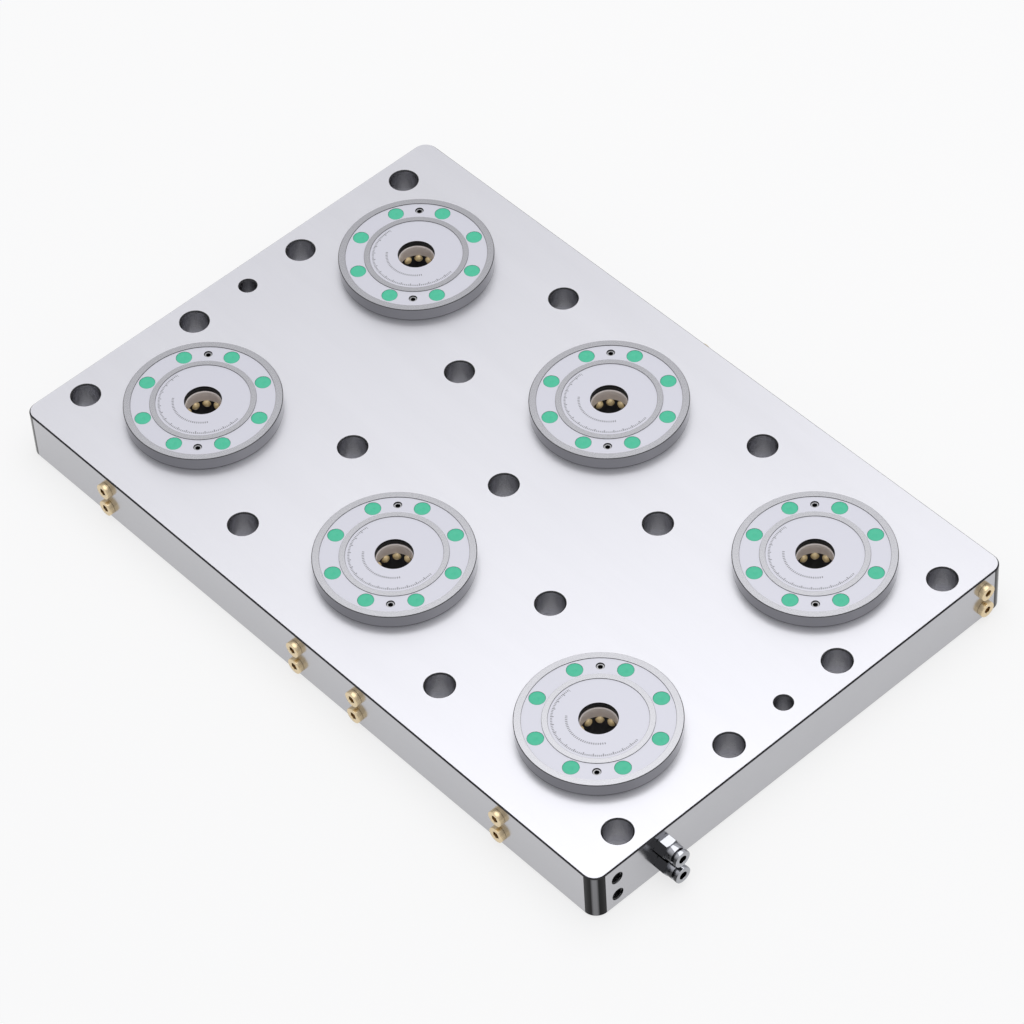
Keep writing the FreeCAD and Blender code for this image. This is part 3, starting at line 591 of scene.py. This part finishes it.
def jack_steel(colours):
    """The jack screws: grey steel, with painted shade in the socket."""
    material, graph = new_material("jack_steel")
    height = graph.position_mm()[2]
    grain = graph.noise(graph.place_mm(), scale=2.0, detail=2.0)
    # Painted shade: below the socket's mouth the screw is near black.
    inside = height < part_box("jack_screws")[1].z / MM - SOCKET_START
    colour = graph.mix(inside, solid(colours.aluminium, 0.62), solid(colours.black_oxide_and_shade))
    graph.surface(Base_Color=colour, Metallic=0.9, Roughness=0.30 + grain * 0.1)
    return material


def blackened_steel(colours):
    """The flange screws' black oxide."""
    material, graph = new_material("blackened_steel")
    grain = graph.noise(graph.place_mm(), scale=2.5, detail=4.0)
    colour = graph.mix(grain, solid(colours.black_oxide_and_shade, 0.7), solid(colours.black_oxide_and_shade, 1.6))
    normal = graph.bump(grain, 0.1, 0.0001)
    graph.surface(Base_Color=colour, Metallic=0.6, Roughness=0.32 + grain * 0.15, Normal=normal)
    return material


def cap_plastic(colours):
    """The caps' green plastic, slightly uneven in tone and finely grained."""
    material, graph = new_material("cap_plastic")
    place = graph.place_mm()
    cloud = graph.noise(place, scale=0.5, detail=2.0)
    grain = graph.noise(place, scale=7.0, detail=2.0)
    colour = graph.mix(cloud, solid(colours.cap, 0.94), solid(colours.cap, 1.05))
    normal = graph.bump(grain, 0.06, 0.0001)
    graph.surface(Base_Color=colour, Roughness=0.42 + grain * 0.08, Normal=normal)
    return material


def seal_rubber(colours):
    """The seals' matt black rubber."""
    material, graph = new_material("seal_rubber")
    grain = graph.noise(graph.place_mm(), scale=4.0, detail=3.0)
    colour = graph.mix(grain, solid(colours.rubber, 0.8), solid(colours.rubber, 1.5))
    normal = graph.bump(grain, 0.1, 0.0001)
    graph.surface(Base_Color=colour, Roughness=0.5 + grain * 0.2, Normal=normal)
    return material


# meshes

def across_flats(width):
    """The rule for a hexagon's radius at each angle, with a flat facing angle 0."""
    sector = FULL_TURN / 6

    def radius(angle):
        return width / 2 / math.cos((angle + sector / 2) % sector - sector / 2)

    return radius


def no_wider_than(rule, limit):
    """A radius rule cut back to a circle, as a chamfer cuts the corners of a hexagon."""
    return lambda angle: min(rule(angle), limit)


def ring_of_points(mesh, place, radius, height, segments):
    """Points round the Z axis; the radius is a number or a rule for each angle."""
    points = []
    for index in range(segments):
        angle = FULL_TURN * index / segments
        reach = radius(angle) if callable(radius) else radius
        local = Vector((reach * math.cos(angle), reach * math.sin(angle), height))
        points.append(mesh.verts.new(place @ local))
    return points


def skin(mesh, lower, upper):
    """Join two rings of points with faces."""
    count = len(lower)
    for index in range(count):
        after = (index + 1) % count
        mesh.faces.new((lower[index], lower[after], upper[after], upper[index]))


def add_turned(mesh, place, section, segments, hollow=False):
    """Skin a stack of rings, from the bottom of the outside round to the end of the section."""
    rings = [ring_of_points(mesh, place, radius, height, segments) for radius, height in section]
    for lower, upper in zip(rings, rings[1:]):
        skin(mesh, lower, upper)
    if hollow:
        skin(mesh, rings[-1], rings[0])
    else:
        mesh.faces.new(rings[0][::-1])
        mesh.faces.new(rings[-1])


def add_thread(mesh, place, radius, depth, pitch, length, segments):
    """A ridge that winds inwards from a hole's wall, as a thread does."""
    turns = length / pitch - 1
    steps = int(turns * segments)
    crest = radius - depth
    corners = ((radius, -pitch / 2), (crest, -pitch / 12), (crest, pitch / 12), (radius, pitch / 2))
    sections = []
    for step in range(steps + 1):
        angle = FULL_TURN * step / segments
        height = pitch * step / segments + pitch / 2
        points = []
        for reach, offset in corners:
            local = Vector((reach * math.cos(angle), reach * math.sin(angle), height + offset))
            points.append(mesh.verts.new(place @ local))
        sections.append(points)
    for first, second in zip(sections, sections[1:]):
        skin(mesh, first, second)
    mesh.faces.new(sections[0][::-1])
    mesh.faces.new(sections[-1])


def new_piece(name, build, material, body, replaced=(), crease=35):
    """Make a piece from a function that fills its mesh, and let it ride on a body."""
    mesh = bmesh.new()
    build(mesh)
    bmesh.ops.recalc_face_normals(mesh, faces=mesh.faces)
    data = bpy.data.meshes.new(name)
    mesh.to_mesh(data)
    mesh.free()
    data.shade_smooth()
    data.set_sharp_from_angle(angle=math.radians(crease))
    data.materials.append(material)
    piece = bpy.data.objects.new(name, data)
    bpy.context.scene.collection.objects.link(piece)
    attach(piece, body)
    if replaced:
        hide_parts(*replaced)
    return piece


def finish_nodes(names, material):
    """Give nodes of the frame a finish."""
    for name in names:
        node = frame["nodes"][name]
        node.data.materials.clear()
        node.data.materials.append(material)


def upright_at(place):
    """Stand a piece made along Z at a place."""
    return Matrix.Translation(place)


def out_of(side, place):
    """Lay a piece made along Z on to a side of the plate."""
    turns = {"+X": ("Y", 90), "-Y": ("X", 90), "+Y": ("X", -90)}
    axis, degrees = turns[side]
    return Matrix.Translation(place) @ Matrix.Rotation(math.radians(degrees), 4, axis)


def round_modules(radius, first_angle, count, height):
    """Places spread evenly on a circle about every module's axis."""
    places = []
    for centre in module_centres():
        for index in range(count):
            angle = math.radians(first_angle) + FULL_TURN * index / count
            offset = Vector((radius * math.cos(angle), radius * math.sin(angle), height))
            places.append(centre + offset)
    return places


# pieces

def cap_section(sizes):
    """A cap: a disc with a rounded rim and a dimple in the middle."""
    low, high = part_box("screw_caps")
    radius = 0.0057
    edge = sizes.cap_edge
    tall = high.z - low.z
    dimple = sizes.cap_dimple
    return [
        (radius, 0),
        (radius, tall - edge),
        (radius - edge * 0.3, tall - edge * 0.3),
        (radius - edge, tall),
        (dimple, tall),
        (dimple * 0.7, tall - edge * 0.4),
    ]


def jack_section(sizes):
    """A jack screw: a chamfered pin with a hexagon socket."""
    low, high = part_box("jack_screws")
    radius = 0.003
    tall = high.z - low.z
    socket = across_flats(sizes.jack_socket)
    mouth = sizes.jack_socket * 0.6
    return [
        (radius * 0.8, 0),
        (radius, radius * 0.25),
        (radius, tall - radius * 0.15),
        (radius * 0.85, tall),
        (mouth, tall),
        (socket, tall - mouth * 0.15),
        (socket, tall - radius),
        (radius * 0.1, tall - radius * 1.2),
    ]


def plug_section(sizes):
    """A plug with its root on the plate's side: thread, collar and hexagon socket."""
    thread = mount_radius("spare_port_upper") - PORT_PLAY
    collar = 0.006
    proud = 0.004
    bottom = -0.002
    edge = sizes.plug_edge
    socket = across_flats(sizes.plug_socket)
    mouth = sizes.plug_socket * 0.62
    return [
        (thread - edge, -PORT_DEPTH),
        (thread, -PORT_DEPTH + edge),
        (thread, 0),
        (collar - edge * 0.5, 0),
        (collar, edge * 0.5),
        (collar, proud - edge),
        (collar - edge * 0.3, proud - edge * 0.3),
        (collar - edge, proud),
        (mouth, proud),
        (socket, proud - edge),
        (socket, bottom),
        (edge, bottom - edge * 2),
    ]


def fitting_section(sizes):
    thread = mount_radius("spare_port_upper") - PORT_PLAY
    tube = mount_radius("tube_upper")
    edge = 0.0004
    shank = [
        (thread - edge, -PORT_DEPTH),
        (thread, -PORT_DEPTH + edge),
        (thread, 0),
    ]
    shoulder = 0.009
    top = 0.0145
    neck = 0.0062
    head = 0.0065
    outside = [
        (neck, shoulder),
        (neck, shoulder + edge),
        (head, shoulder + edge + 0.0003),
        (head, top - edge),
        (head - 0.0001, top - 0.0001),
        (head - edge, top),
    ]
    chamber = 0.005
    floor = 0.0005
    stop = -0.002
    passage = 0.0022
    inside = [
        (chamber, top),
        (chamber, floor),
        (tube, floor),
        (tube, stop),
        (passage, stop),
        (passage, -PORT_DEPTH),
    ]
    return shank + hexagon_section(sizes.fitting_hexagon, shoulder) + outside + inside


def hexagon_section(width, height):
    """A hexagon whose corners are turned off at both ends, as a 30 degree chamfer does."""
    hexagon = across_flats(width)
    corner = width / math.sqrt(3)
    turned_off = 0.0008
    slope = 0.58
    steps = 4
    lower = []
    for step in range(steps + 1):
        growth = turned_off * step / steps
        lower.append((no_wider_than(hexagon, corner - turned_off + growth), growth * slope))
    upper = [(rule, height - rise) for rule, rise in lower[::-1]]
    return lower + upper


def collar_section():
    """The release collar: a neck that slides in the fitting and a flange to push."""
    low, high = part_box("release_collar_upper")
    root = plate_box()[1].x
    foot = low.x - root
    top = high.x - root
    tube = mount_radius("tube_upper")
    flange = 0.0064
    neck = 0.0046
    back = top - 0.003
    edge = 0.0002
    round_edge = 0.0004
    return [
        (neck - edge, foot),
        (neck, foot + edge),
        (neck, back),
        (flange - edge, back),
        (flange, back + edge),
        (flange, top - round_edge),
        (flange - round_edge * 0.3, top - round_edge * 0.3),
        (flange - round_edge, top),
        (tube + round_edge, top),
        (tube + round_edge * 0.25, top - round_edge * 0.25),
        (tube, top - round_edge),
        (tube, foot),
    ]


def plug_places():
    """The plugs' roots and the sides that they point out of."""
    low, high = plate_box()
    pitch = module_pitch()
    header = abs(mount_place("spare_port_upper").y)
    levels = [mount_place(f"spare_port_{name}").z for name in ("lower", "upper")]
    places = []
    for z in levels:
        for x in (-pitch, 0, CROSS_CHANNEL, pitch):
            places.append(("-Y", Vector((x, low.y, z))))
        places.append(("+Y", Vector((0, high.y, z))))
        places.append(("+X", Vector((high.x, header, z))))
    return places


# operators

def settings():
    """The scene's own settings of the clamping plate."""
    return bpy.context.scene.clamping_plate


class CLAMPING_PLATE_OT_finish_plate(bpy.types.Operator):
    """Finish the ground plate and cut the threads in its open ports"""

    bl_idname = "clamping_plate.finish_plate"
    bl_label = "Plate"

    def execute(self, context):
        steel = ground_steel(settings().colours)
        finish_nodes(["base_plate"], steel)
        sizes = settings().sizes
        radius = mount_radius("spare_port_upper") - THREAD_PLAY
        shape = (radius, sizes.thread_depth, sizes.thread_pitch, THREAD_LENGTH, THREAD_SEGMENTS)
        for level in ("upper", "lower"):
            mouth = mount_place(f"spare_port_{level}")
            place = out_of("+X", mouth - Vector((THREAD_REACH, 0, 0)))

            def build(mesh, place=place):
                add_thread(mesh, place, *shape)

            new_piece(f"port_thread_{level}", build, steel, "plate", crease=20)
        return {"FINISHED"}


class CLAMPING_PLATE_OT_finish_modules(bpy.types.Operator):
    """Finish the module housings with ground rings and engraved graduations"""

    bl_idname = "clamping_plate.finish_modules"
    bl_label = "Module housings"

    def execute(self, context):
        finish_nodes(module_nodes("module_housing"), module_steel(settings().colours))
        return {"FINISHED"}


class CLAMPING_PLATE_OT_finish_mechanism(bpy.types.Operator):
    """Finish the cages, pistons, covers and seals inside the modules"""

    bl_idname = "clamping_plate.finish_mechanism"
    bl_label = "Ball lock mechanism"

    def execute(self, context):
        colours = settings().colours
        hardened = plain_metal("hardened_steel", colours.dark_steel, 0.22)
        finish_nodes(module_nodes("piston"), hardened)
        finish_nodes(module_nodes("ball_cage"), cage_steel(colours))
        aluminium = plain_metal("turned_aluminium", colours.aluminium, 0.35)
        finish_nodes(module_nodes("chamber_cover"), aluminium)
        rubber = seal_rubber(colours)
        seals = ["housing_seal_rings", "bore_wipers", "tube_seals"]
        finish_nodes(module_nodes("piston_seals") + seals, rubber)
        return {"FINISHED"}


class CLAMPING_PLATE_OT_make_springs(bpy.types.Operator):
    """Make the disc springs"""

    bl_idname = "clamping_plate.make_springs"
    bl_label = "Disc springs"

    def execute(self, context):
        steel = plain_metal("spring_steel", settings().colours.spring, 0.35)
        for index, centre in enumerate(module_centres(), 1):
            self.make_pair(index, centre, steel)
        return {"FINISHED"}

    def make_pair(self, index, centre, steel):
        """One module's two springs, with the frame's own shape, fixed to the plate."""
        node = f"disc_springs_{index}"
        low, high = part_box(node)
        lift = next(item for item in frame["joints"] if item["name"] == f"piston_{index}_lift")
        stroke = lift["range_m"][1]

        def build(mesh):
            mesh.from_mesh(frame["nodes"][node].data)

        piece = new_piece(f"flattening_springs_{index}", build, steel, "plate", [node])
        1 - stroke / (high.z - low.z)
        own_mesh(piece)


class CLAMPING_PLATE_OT_make_balls(bpy.types.Operator):
    """Make the coated balls that grip the nipple"""

    bl_idname = "clamping_plate.make_balls"
    bl_label = "Balls"

    def execute(self, context):
        coating = ball_coating(settings().colours)
        for index in range(1, BALL_DIRECTIONS + 1):
            self.make_direction(index, coating)
        return {"FINISHED"}

    def make_direction(self, index, coating):
        """The six balls that move in one direction, one in every module."""
        node = f"lock_balls_{index:02d}"
        low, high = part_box(node)
        radius = (high.z - low.z) / 2
        joint = next(item for item in frame["joints"] if item["child"] == f"balls_{index:02d}")
        outward = Vector(joint["axis"])
        farthest = max(module_centres(), key=lambda centre: centre.x)
        reach = (high.x - radius - farthest.x) / outward.x
        level = Vector((0, 0, (low.z + high.z) / 2))

        def build(mesh):
            for centre in module_centres():
                place = upright_at(centre + outward * reach + level)
                bmesh.ops.create_uvsphere(mesh, u_segments=32, v_segments=20, radius=radius, matrix=place)

        new_piece(f"coated_balls_{index:02d}", build, coating, f"balls_{index:02d}", [node])


class CLAMPING_PLATE_OT_make_caps(bpy.types.Operator):
    """Make the moulded caps that cover the flange screws"""

    bl_idname = "clamping_plate.make_caps"
    bl_label = "Screw caps"

    def execute(self, context):
        sizes = settings().sizes
        section = cap_section(sizes)
        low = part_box("screw_caps")[0].z
        places = round_modules(sizes.screw_circle, CAP_ANGLE, SCREWS_PER_MODULE, low)

        def build(mesh):
            for place in places:
                add_turned(mesh, upright_at(place), section, sizes.segments // 2)

        plastic = cap_plastic(settings().colours)
        new_piece("moulded_caps", build, plastic, "plate", ["screw_caps"], crease=60)
        return {"FINISHED"}


class CLAMPING_PLATE_OT_make_screws(bpy.types.Operator):
    """Make the jack screws in the flanges and finish the screws under the caps"""

    bl_idname = "clamping_plate.make_screws"
    bl_label = "Screws"

    def execute(self, context):
        sizes = settings().sizes
        section = jack_section(sizes)
        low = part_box("jack_screws")[0].z
        places = round_modules(sizes.screw_circle, JACK_ANGLE, JACKS_PER_MODULE, low)

        def build(mesh):
            for place in places:
                add_turned(mesh, upright_at(place), section, sizes.segments // 2)

        colours = settings().colours
        new_piece("socket_jack_screws", build, jack_steel(colours), "plate", ["jack_screws"])
        finish_nodes(["flange_screws"], blackened_steel(colours))
        return {"FINISHED"}


class CLAMPING_PLATE_OT_make_plugs(bpy.types.Operator):
    """Make the brass plugs that close the drilled air channels"""

    bl_idname = "clamping_plate.make_plugs"
    bl_label = "Port plugs"

    def execute(self, context):
        sizes = settings().sizes
        section = plug_section(sizes)

        def build(mesh):
            for side, place in plug_places():
                add_turned(mesh, out_of(side, place), section, sizes.segments)

        brass = plain_metal("brass", settings().colours.brass, 0.24)
        new_piece("brass_plugs", build, brass, "plate", ["port_plugs"])
        return {"FINISHED"}


class CLAMPING_PLATE_OT_make_fittings(bpy.types.Operator):
    """Make the push-in tube fittings and their release collars"""

    bl_idname = "clamping_plate.make_fittings"
    bl_label = "Tube fittings"

    def execute(self, context):
        chrome = fitting_chrome(settings().colours)
        sizes = settings().sizes
        for level in ("upper", "lower"):
            mouth = mount_place(f"tube_{level}")
            root = Vector((plate_box()[1].x, mouth.y, mouth.z))
            place = out_of("+X", root)
            for name, section, body in (
                ("tube_fitting", fitting_section(sizes), "plate"),
                ("release_collar", collar_section(), f"collar_{level}"),
            ):

                def build(mesh, place=place, section=section):
                    add_turned(mesh, place, section, sizes.segments, hollow=True)

                node = f"{name}_{level}"
                new_piece(f"chromed_{node}", build, chrome, body, [node], crease=25)
        finish_nodes(["tube_grip_rings"], plain_metal("grip_steel", settings().colours.spring, 0.3))
        return {"FINISHED"}


# the stage

def floor_material():
    """A pale floor that is nearly white to the camera and in reflections, and keeps the shadow."""
    material, graph = new_material("pale_floor")
    matt = graph.node("ShaderNodeBsdfDiffuse", inputs={"Color": (0.85, 0.85, 0.85, 1)})
    glow = graph.node("ShaderNodeEmission", inputs={"Color": (1, 1, 1, 1), "Strength": 1.05})
    mixed = graph.node("ShaderNodeMixShader", inputs={0: graph.seen() * 0.7, 1: matt, 2: glow})
    graph.node("ShaderNodeOutputMaterial", inputs={"Surface": mixed})
    return material


def make_floor(size):
    """The floor, just below the underside of the plate."""
    mesh = bmesh.new()
    bmesh.ops.create_grid(mesh, x_segments=1, y_segments=1, size=size / 2)
    data = bpy.data.meshes.new("floor")
    mesh.to_mesh(data)
    mesh.free()
    data.materials.append(floor_material())
    floor = bpy.data.objects.new("floor", data)
    floor.location.z = plate_box()[0].z - FLOOR_GAP
    bpy.context.scene.collection.objects.link(floor)


def make_world(surroundings):
    """Even light from all sides, a little brighter to the camera and in reflections."""
    world = bpy.data.worlds.new("studio")
    world.use_nodes = True
    bpy.context.scene.world = world
    graph = Graph(world.node_tree)
    colour = (0.97, 0.97, 1.0, 1)
    strength = surroundings + graph.seen() * 0.10
    background = graph.node("ShaderNodeBackground", inputs={"Color": colour, "Strength": strength})
    graph.node("ShaderNodeOutputWorld", inputs={"Surface": background})


def make_ceiling(studio):
    """A large softbox overhead, squared with the camera and mostly beyond the plate."""
    away = Vector((-math.sin(studio.camera_azimuth), math.cos(studio.camera_azimuth), 0))
    across = Vector((away.y, -away.x, 0))
    near, far = -1.2, 2.0
    left, right = -0.8, 1.6
    data = bpy.data.lights.new("ceiling", "AREA")
    data.shape = "RECTANGLE"
    data.size = far - near
    data.size_y = right - left
    data.energy = studio.softbox_brightness * math.pi * data.size * data.size_y
    lamp = bpy.data.objects.new("ceiling", data)
    lamp.location = away * (near + far) / 2 + across * (left + right) / 2
    lamp.location.z = studio.softbox_height
    lamp.rotation_euler.z = math.atan2(away.y, away.x)
    lamp.visible_camera = False
    bpy.context.scene.collection.objects.link(lamp)


def make_camera(studio):
    """The camera that was fitted to the photograph."""
    data = bpy.data.cameras.new("camera")
    data.sensor_width = studio.sensor_width
    data.lens = studio.lens
    data.clip_end = CAMERA_REACH
    azimuth = studio.camera_azimuth
    elevation = studio.camera_elevation
    level = math.cos(elevation)
    back = Vector((math.sin(azimuth) * level, -math.cos(azimuth) * level, math.sin(elevation)))
    camera = bpy.data.objects.new("camera", data)
    turn = (-back).to_track_quat("-Z", "Y").to_matrix().to_4x4()
    place = Vector(studio.camera_target) + back * studio.camera_distance
    camera.matrix_world = Matrix.Translation(place) @ turn @ Matrix.Rotation(studio.camera_roll, 4, "Z")
    bpy.context.scene.collection.objects.link(camera)
    bpy.context.scene.camera = camera


class CLAMPING_PLATE_OT_make_stage(bpy.types.Operator):
    """Set up the floor, the soft light and the camera"""

    bl_idname = "clamping_plate.make_stage"
    bl_label = "Studio"

    def execute(self, context):
        studio = settings().studio
        make_floor(studio.floor_size)
        make_world(studio.surroundings)
        make_ceiling(studio)
        make_camera(studio)
        context.scene.view_settings.view_transform = "Standard"
        return {"FINISHED"}


class ClampingPlateSettings(bpy.types.PropertyGroup):
    """All settings of the clamping plate."""

    sizes: PointerProperty(type=PieceSizes)
    colours: PointerProperty(type=FinishColours)
    studio: PointerProperty(type=StudioSettings)


OPERATORS = (
    CLAMPING_PLATE_OT_finish_plate,
    CLAMPING_PLATE_OT_finish_modules,
    CLAMPING_PLATE_OT_finish_mechanism,
    CLAMPING_PLATE_OT_make_springs,
    CLAMPING_PLATE_OT_make_balls,
    CLAMPING_PLATE_OT_make_caps,
    CLAMPING_PLATE_OT_make_screws,
    CLAMPING_PLATE_OT_make_plugs,
    CLAMPING_PLATE_OT_make_fittings,
    CLAMPING_PLATE_OT_make_stage,
)


class CLAMPING_PLATE_PT_panel(bpy.types.Panel):
    """Lists the steps that make the clamping plate"""

    bl_idname = "CLAMPING_PLATE_PT_panel"
    bl_label = "Clamping Plate"
    bl_space_type = "VIEW_3D"
    bl_region_type = "UI"
    bl_category = "Clamping Plate"

    def draw(self, context):
        for operator in OPERATORS:
            self.layout.operator(operator.bl_idname)


CLASSES = (PieceSizes, FinishColours, StudioSettings, ClampingPlateSettings) + OPERATORS + (
    CLAMPING_PLATE_PT_panel,
)


def register():
    """Add the operators, the panel and the settings."""
    for item in CLASSES:
        bpy.utils.register_class(item)
    bpy.types.Scene.clamping_plate = PointerProperty(type=ClampingPlateSettings)


def unregister():
    """Take them away again."""
    del bpy.types.Scene.clamping_plate
    for item in reversed(CLASSES):
        bpy.utils.unregister_class(item)


def main():
    """Run every operator in turn."""
    register()
    for operator in OPERATORS:
        group, name = operator.bl_idname.split(".")
        getattr(getattr(bpy.ops, group), name)()


if __name__ == "__main__":
    main()
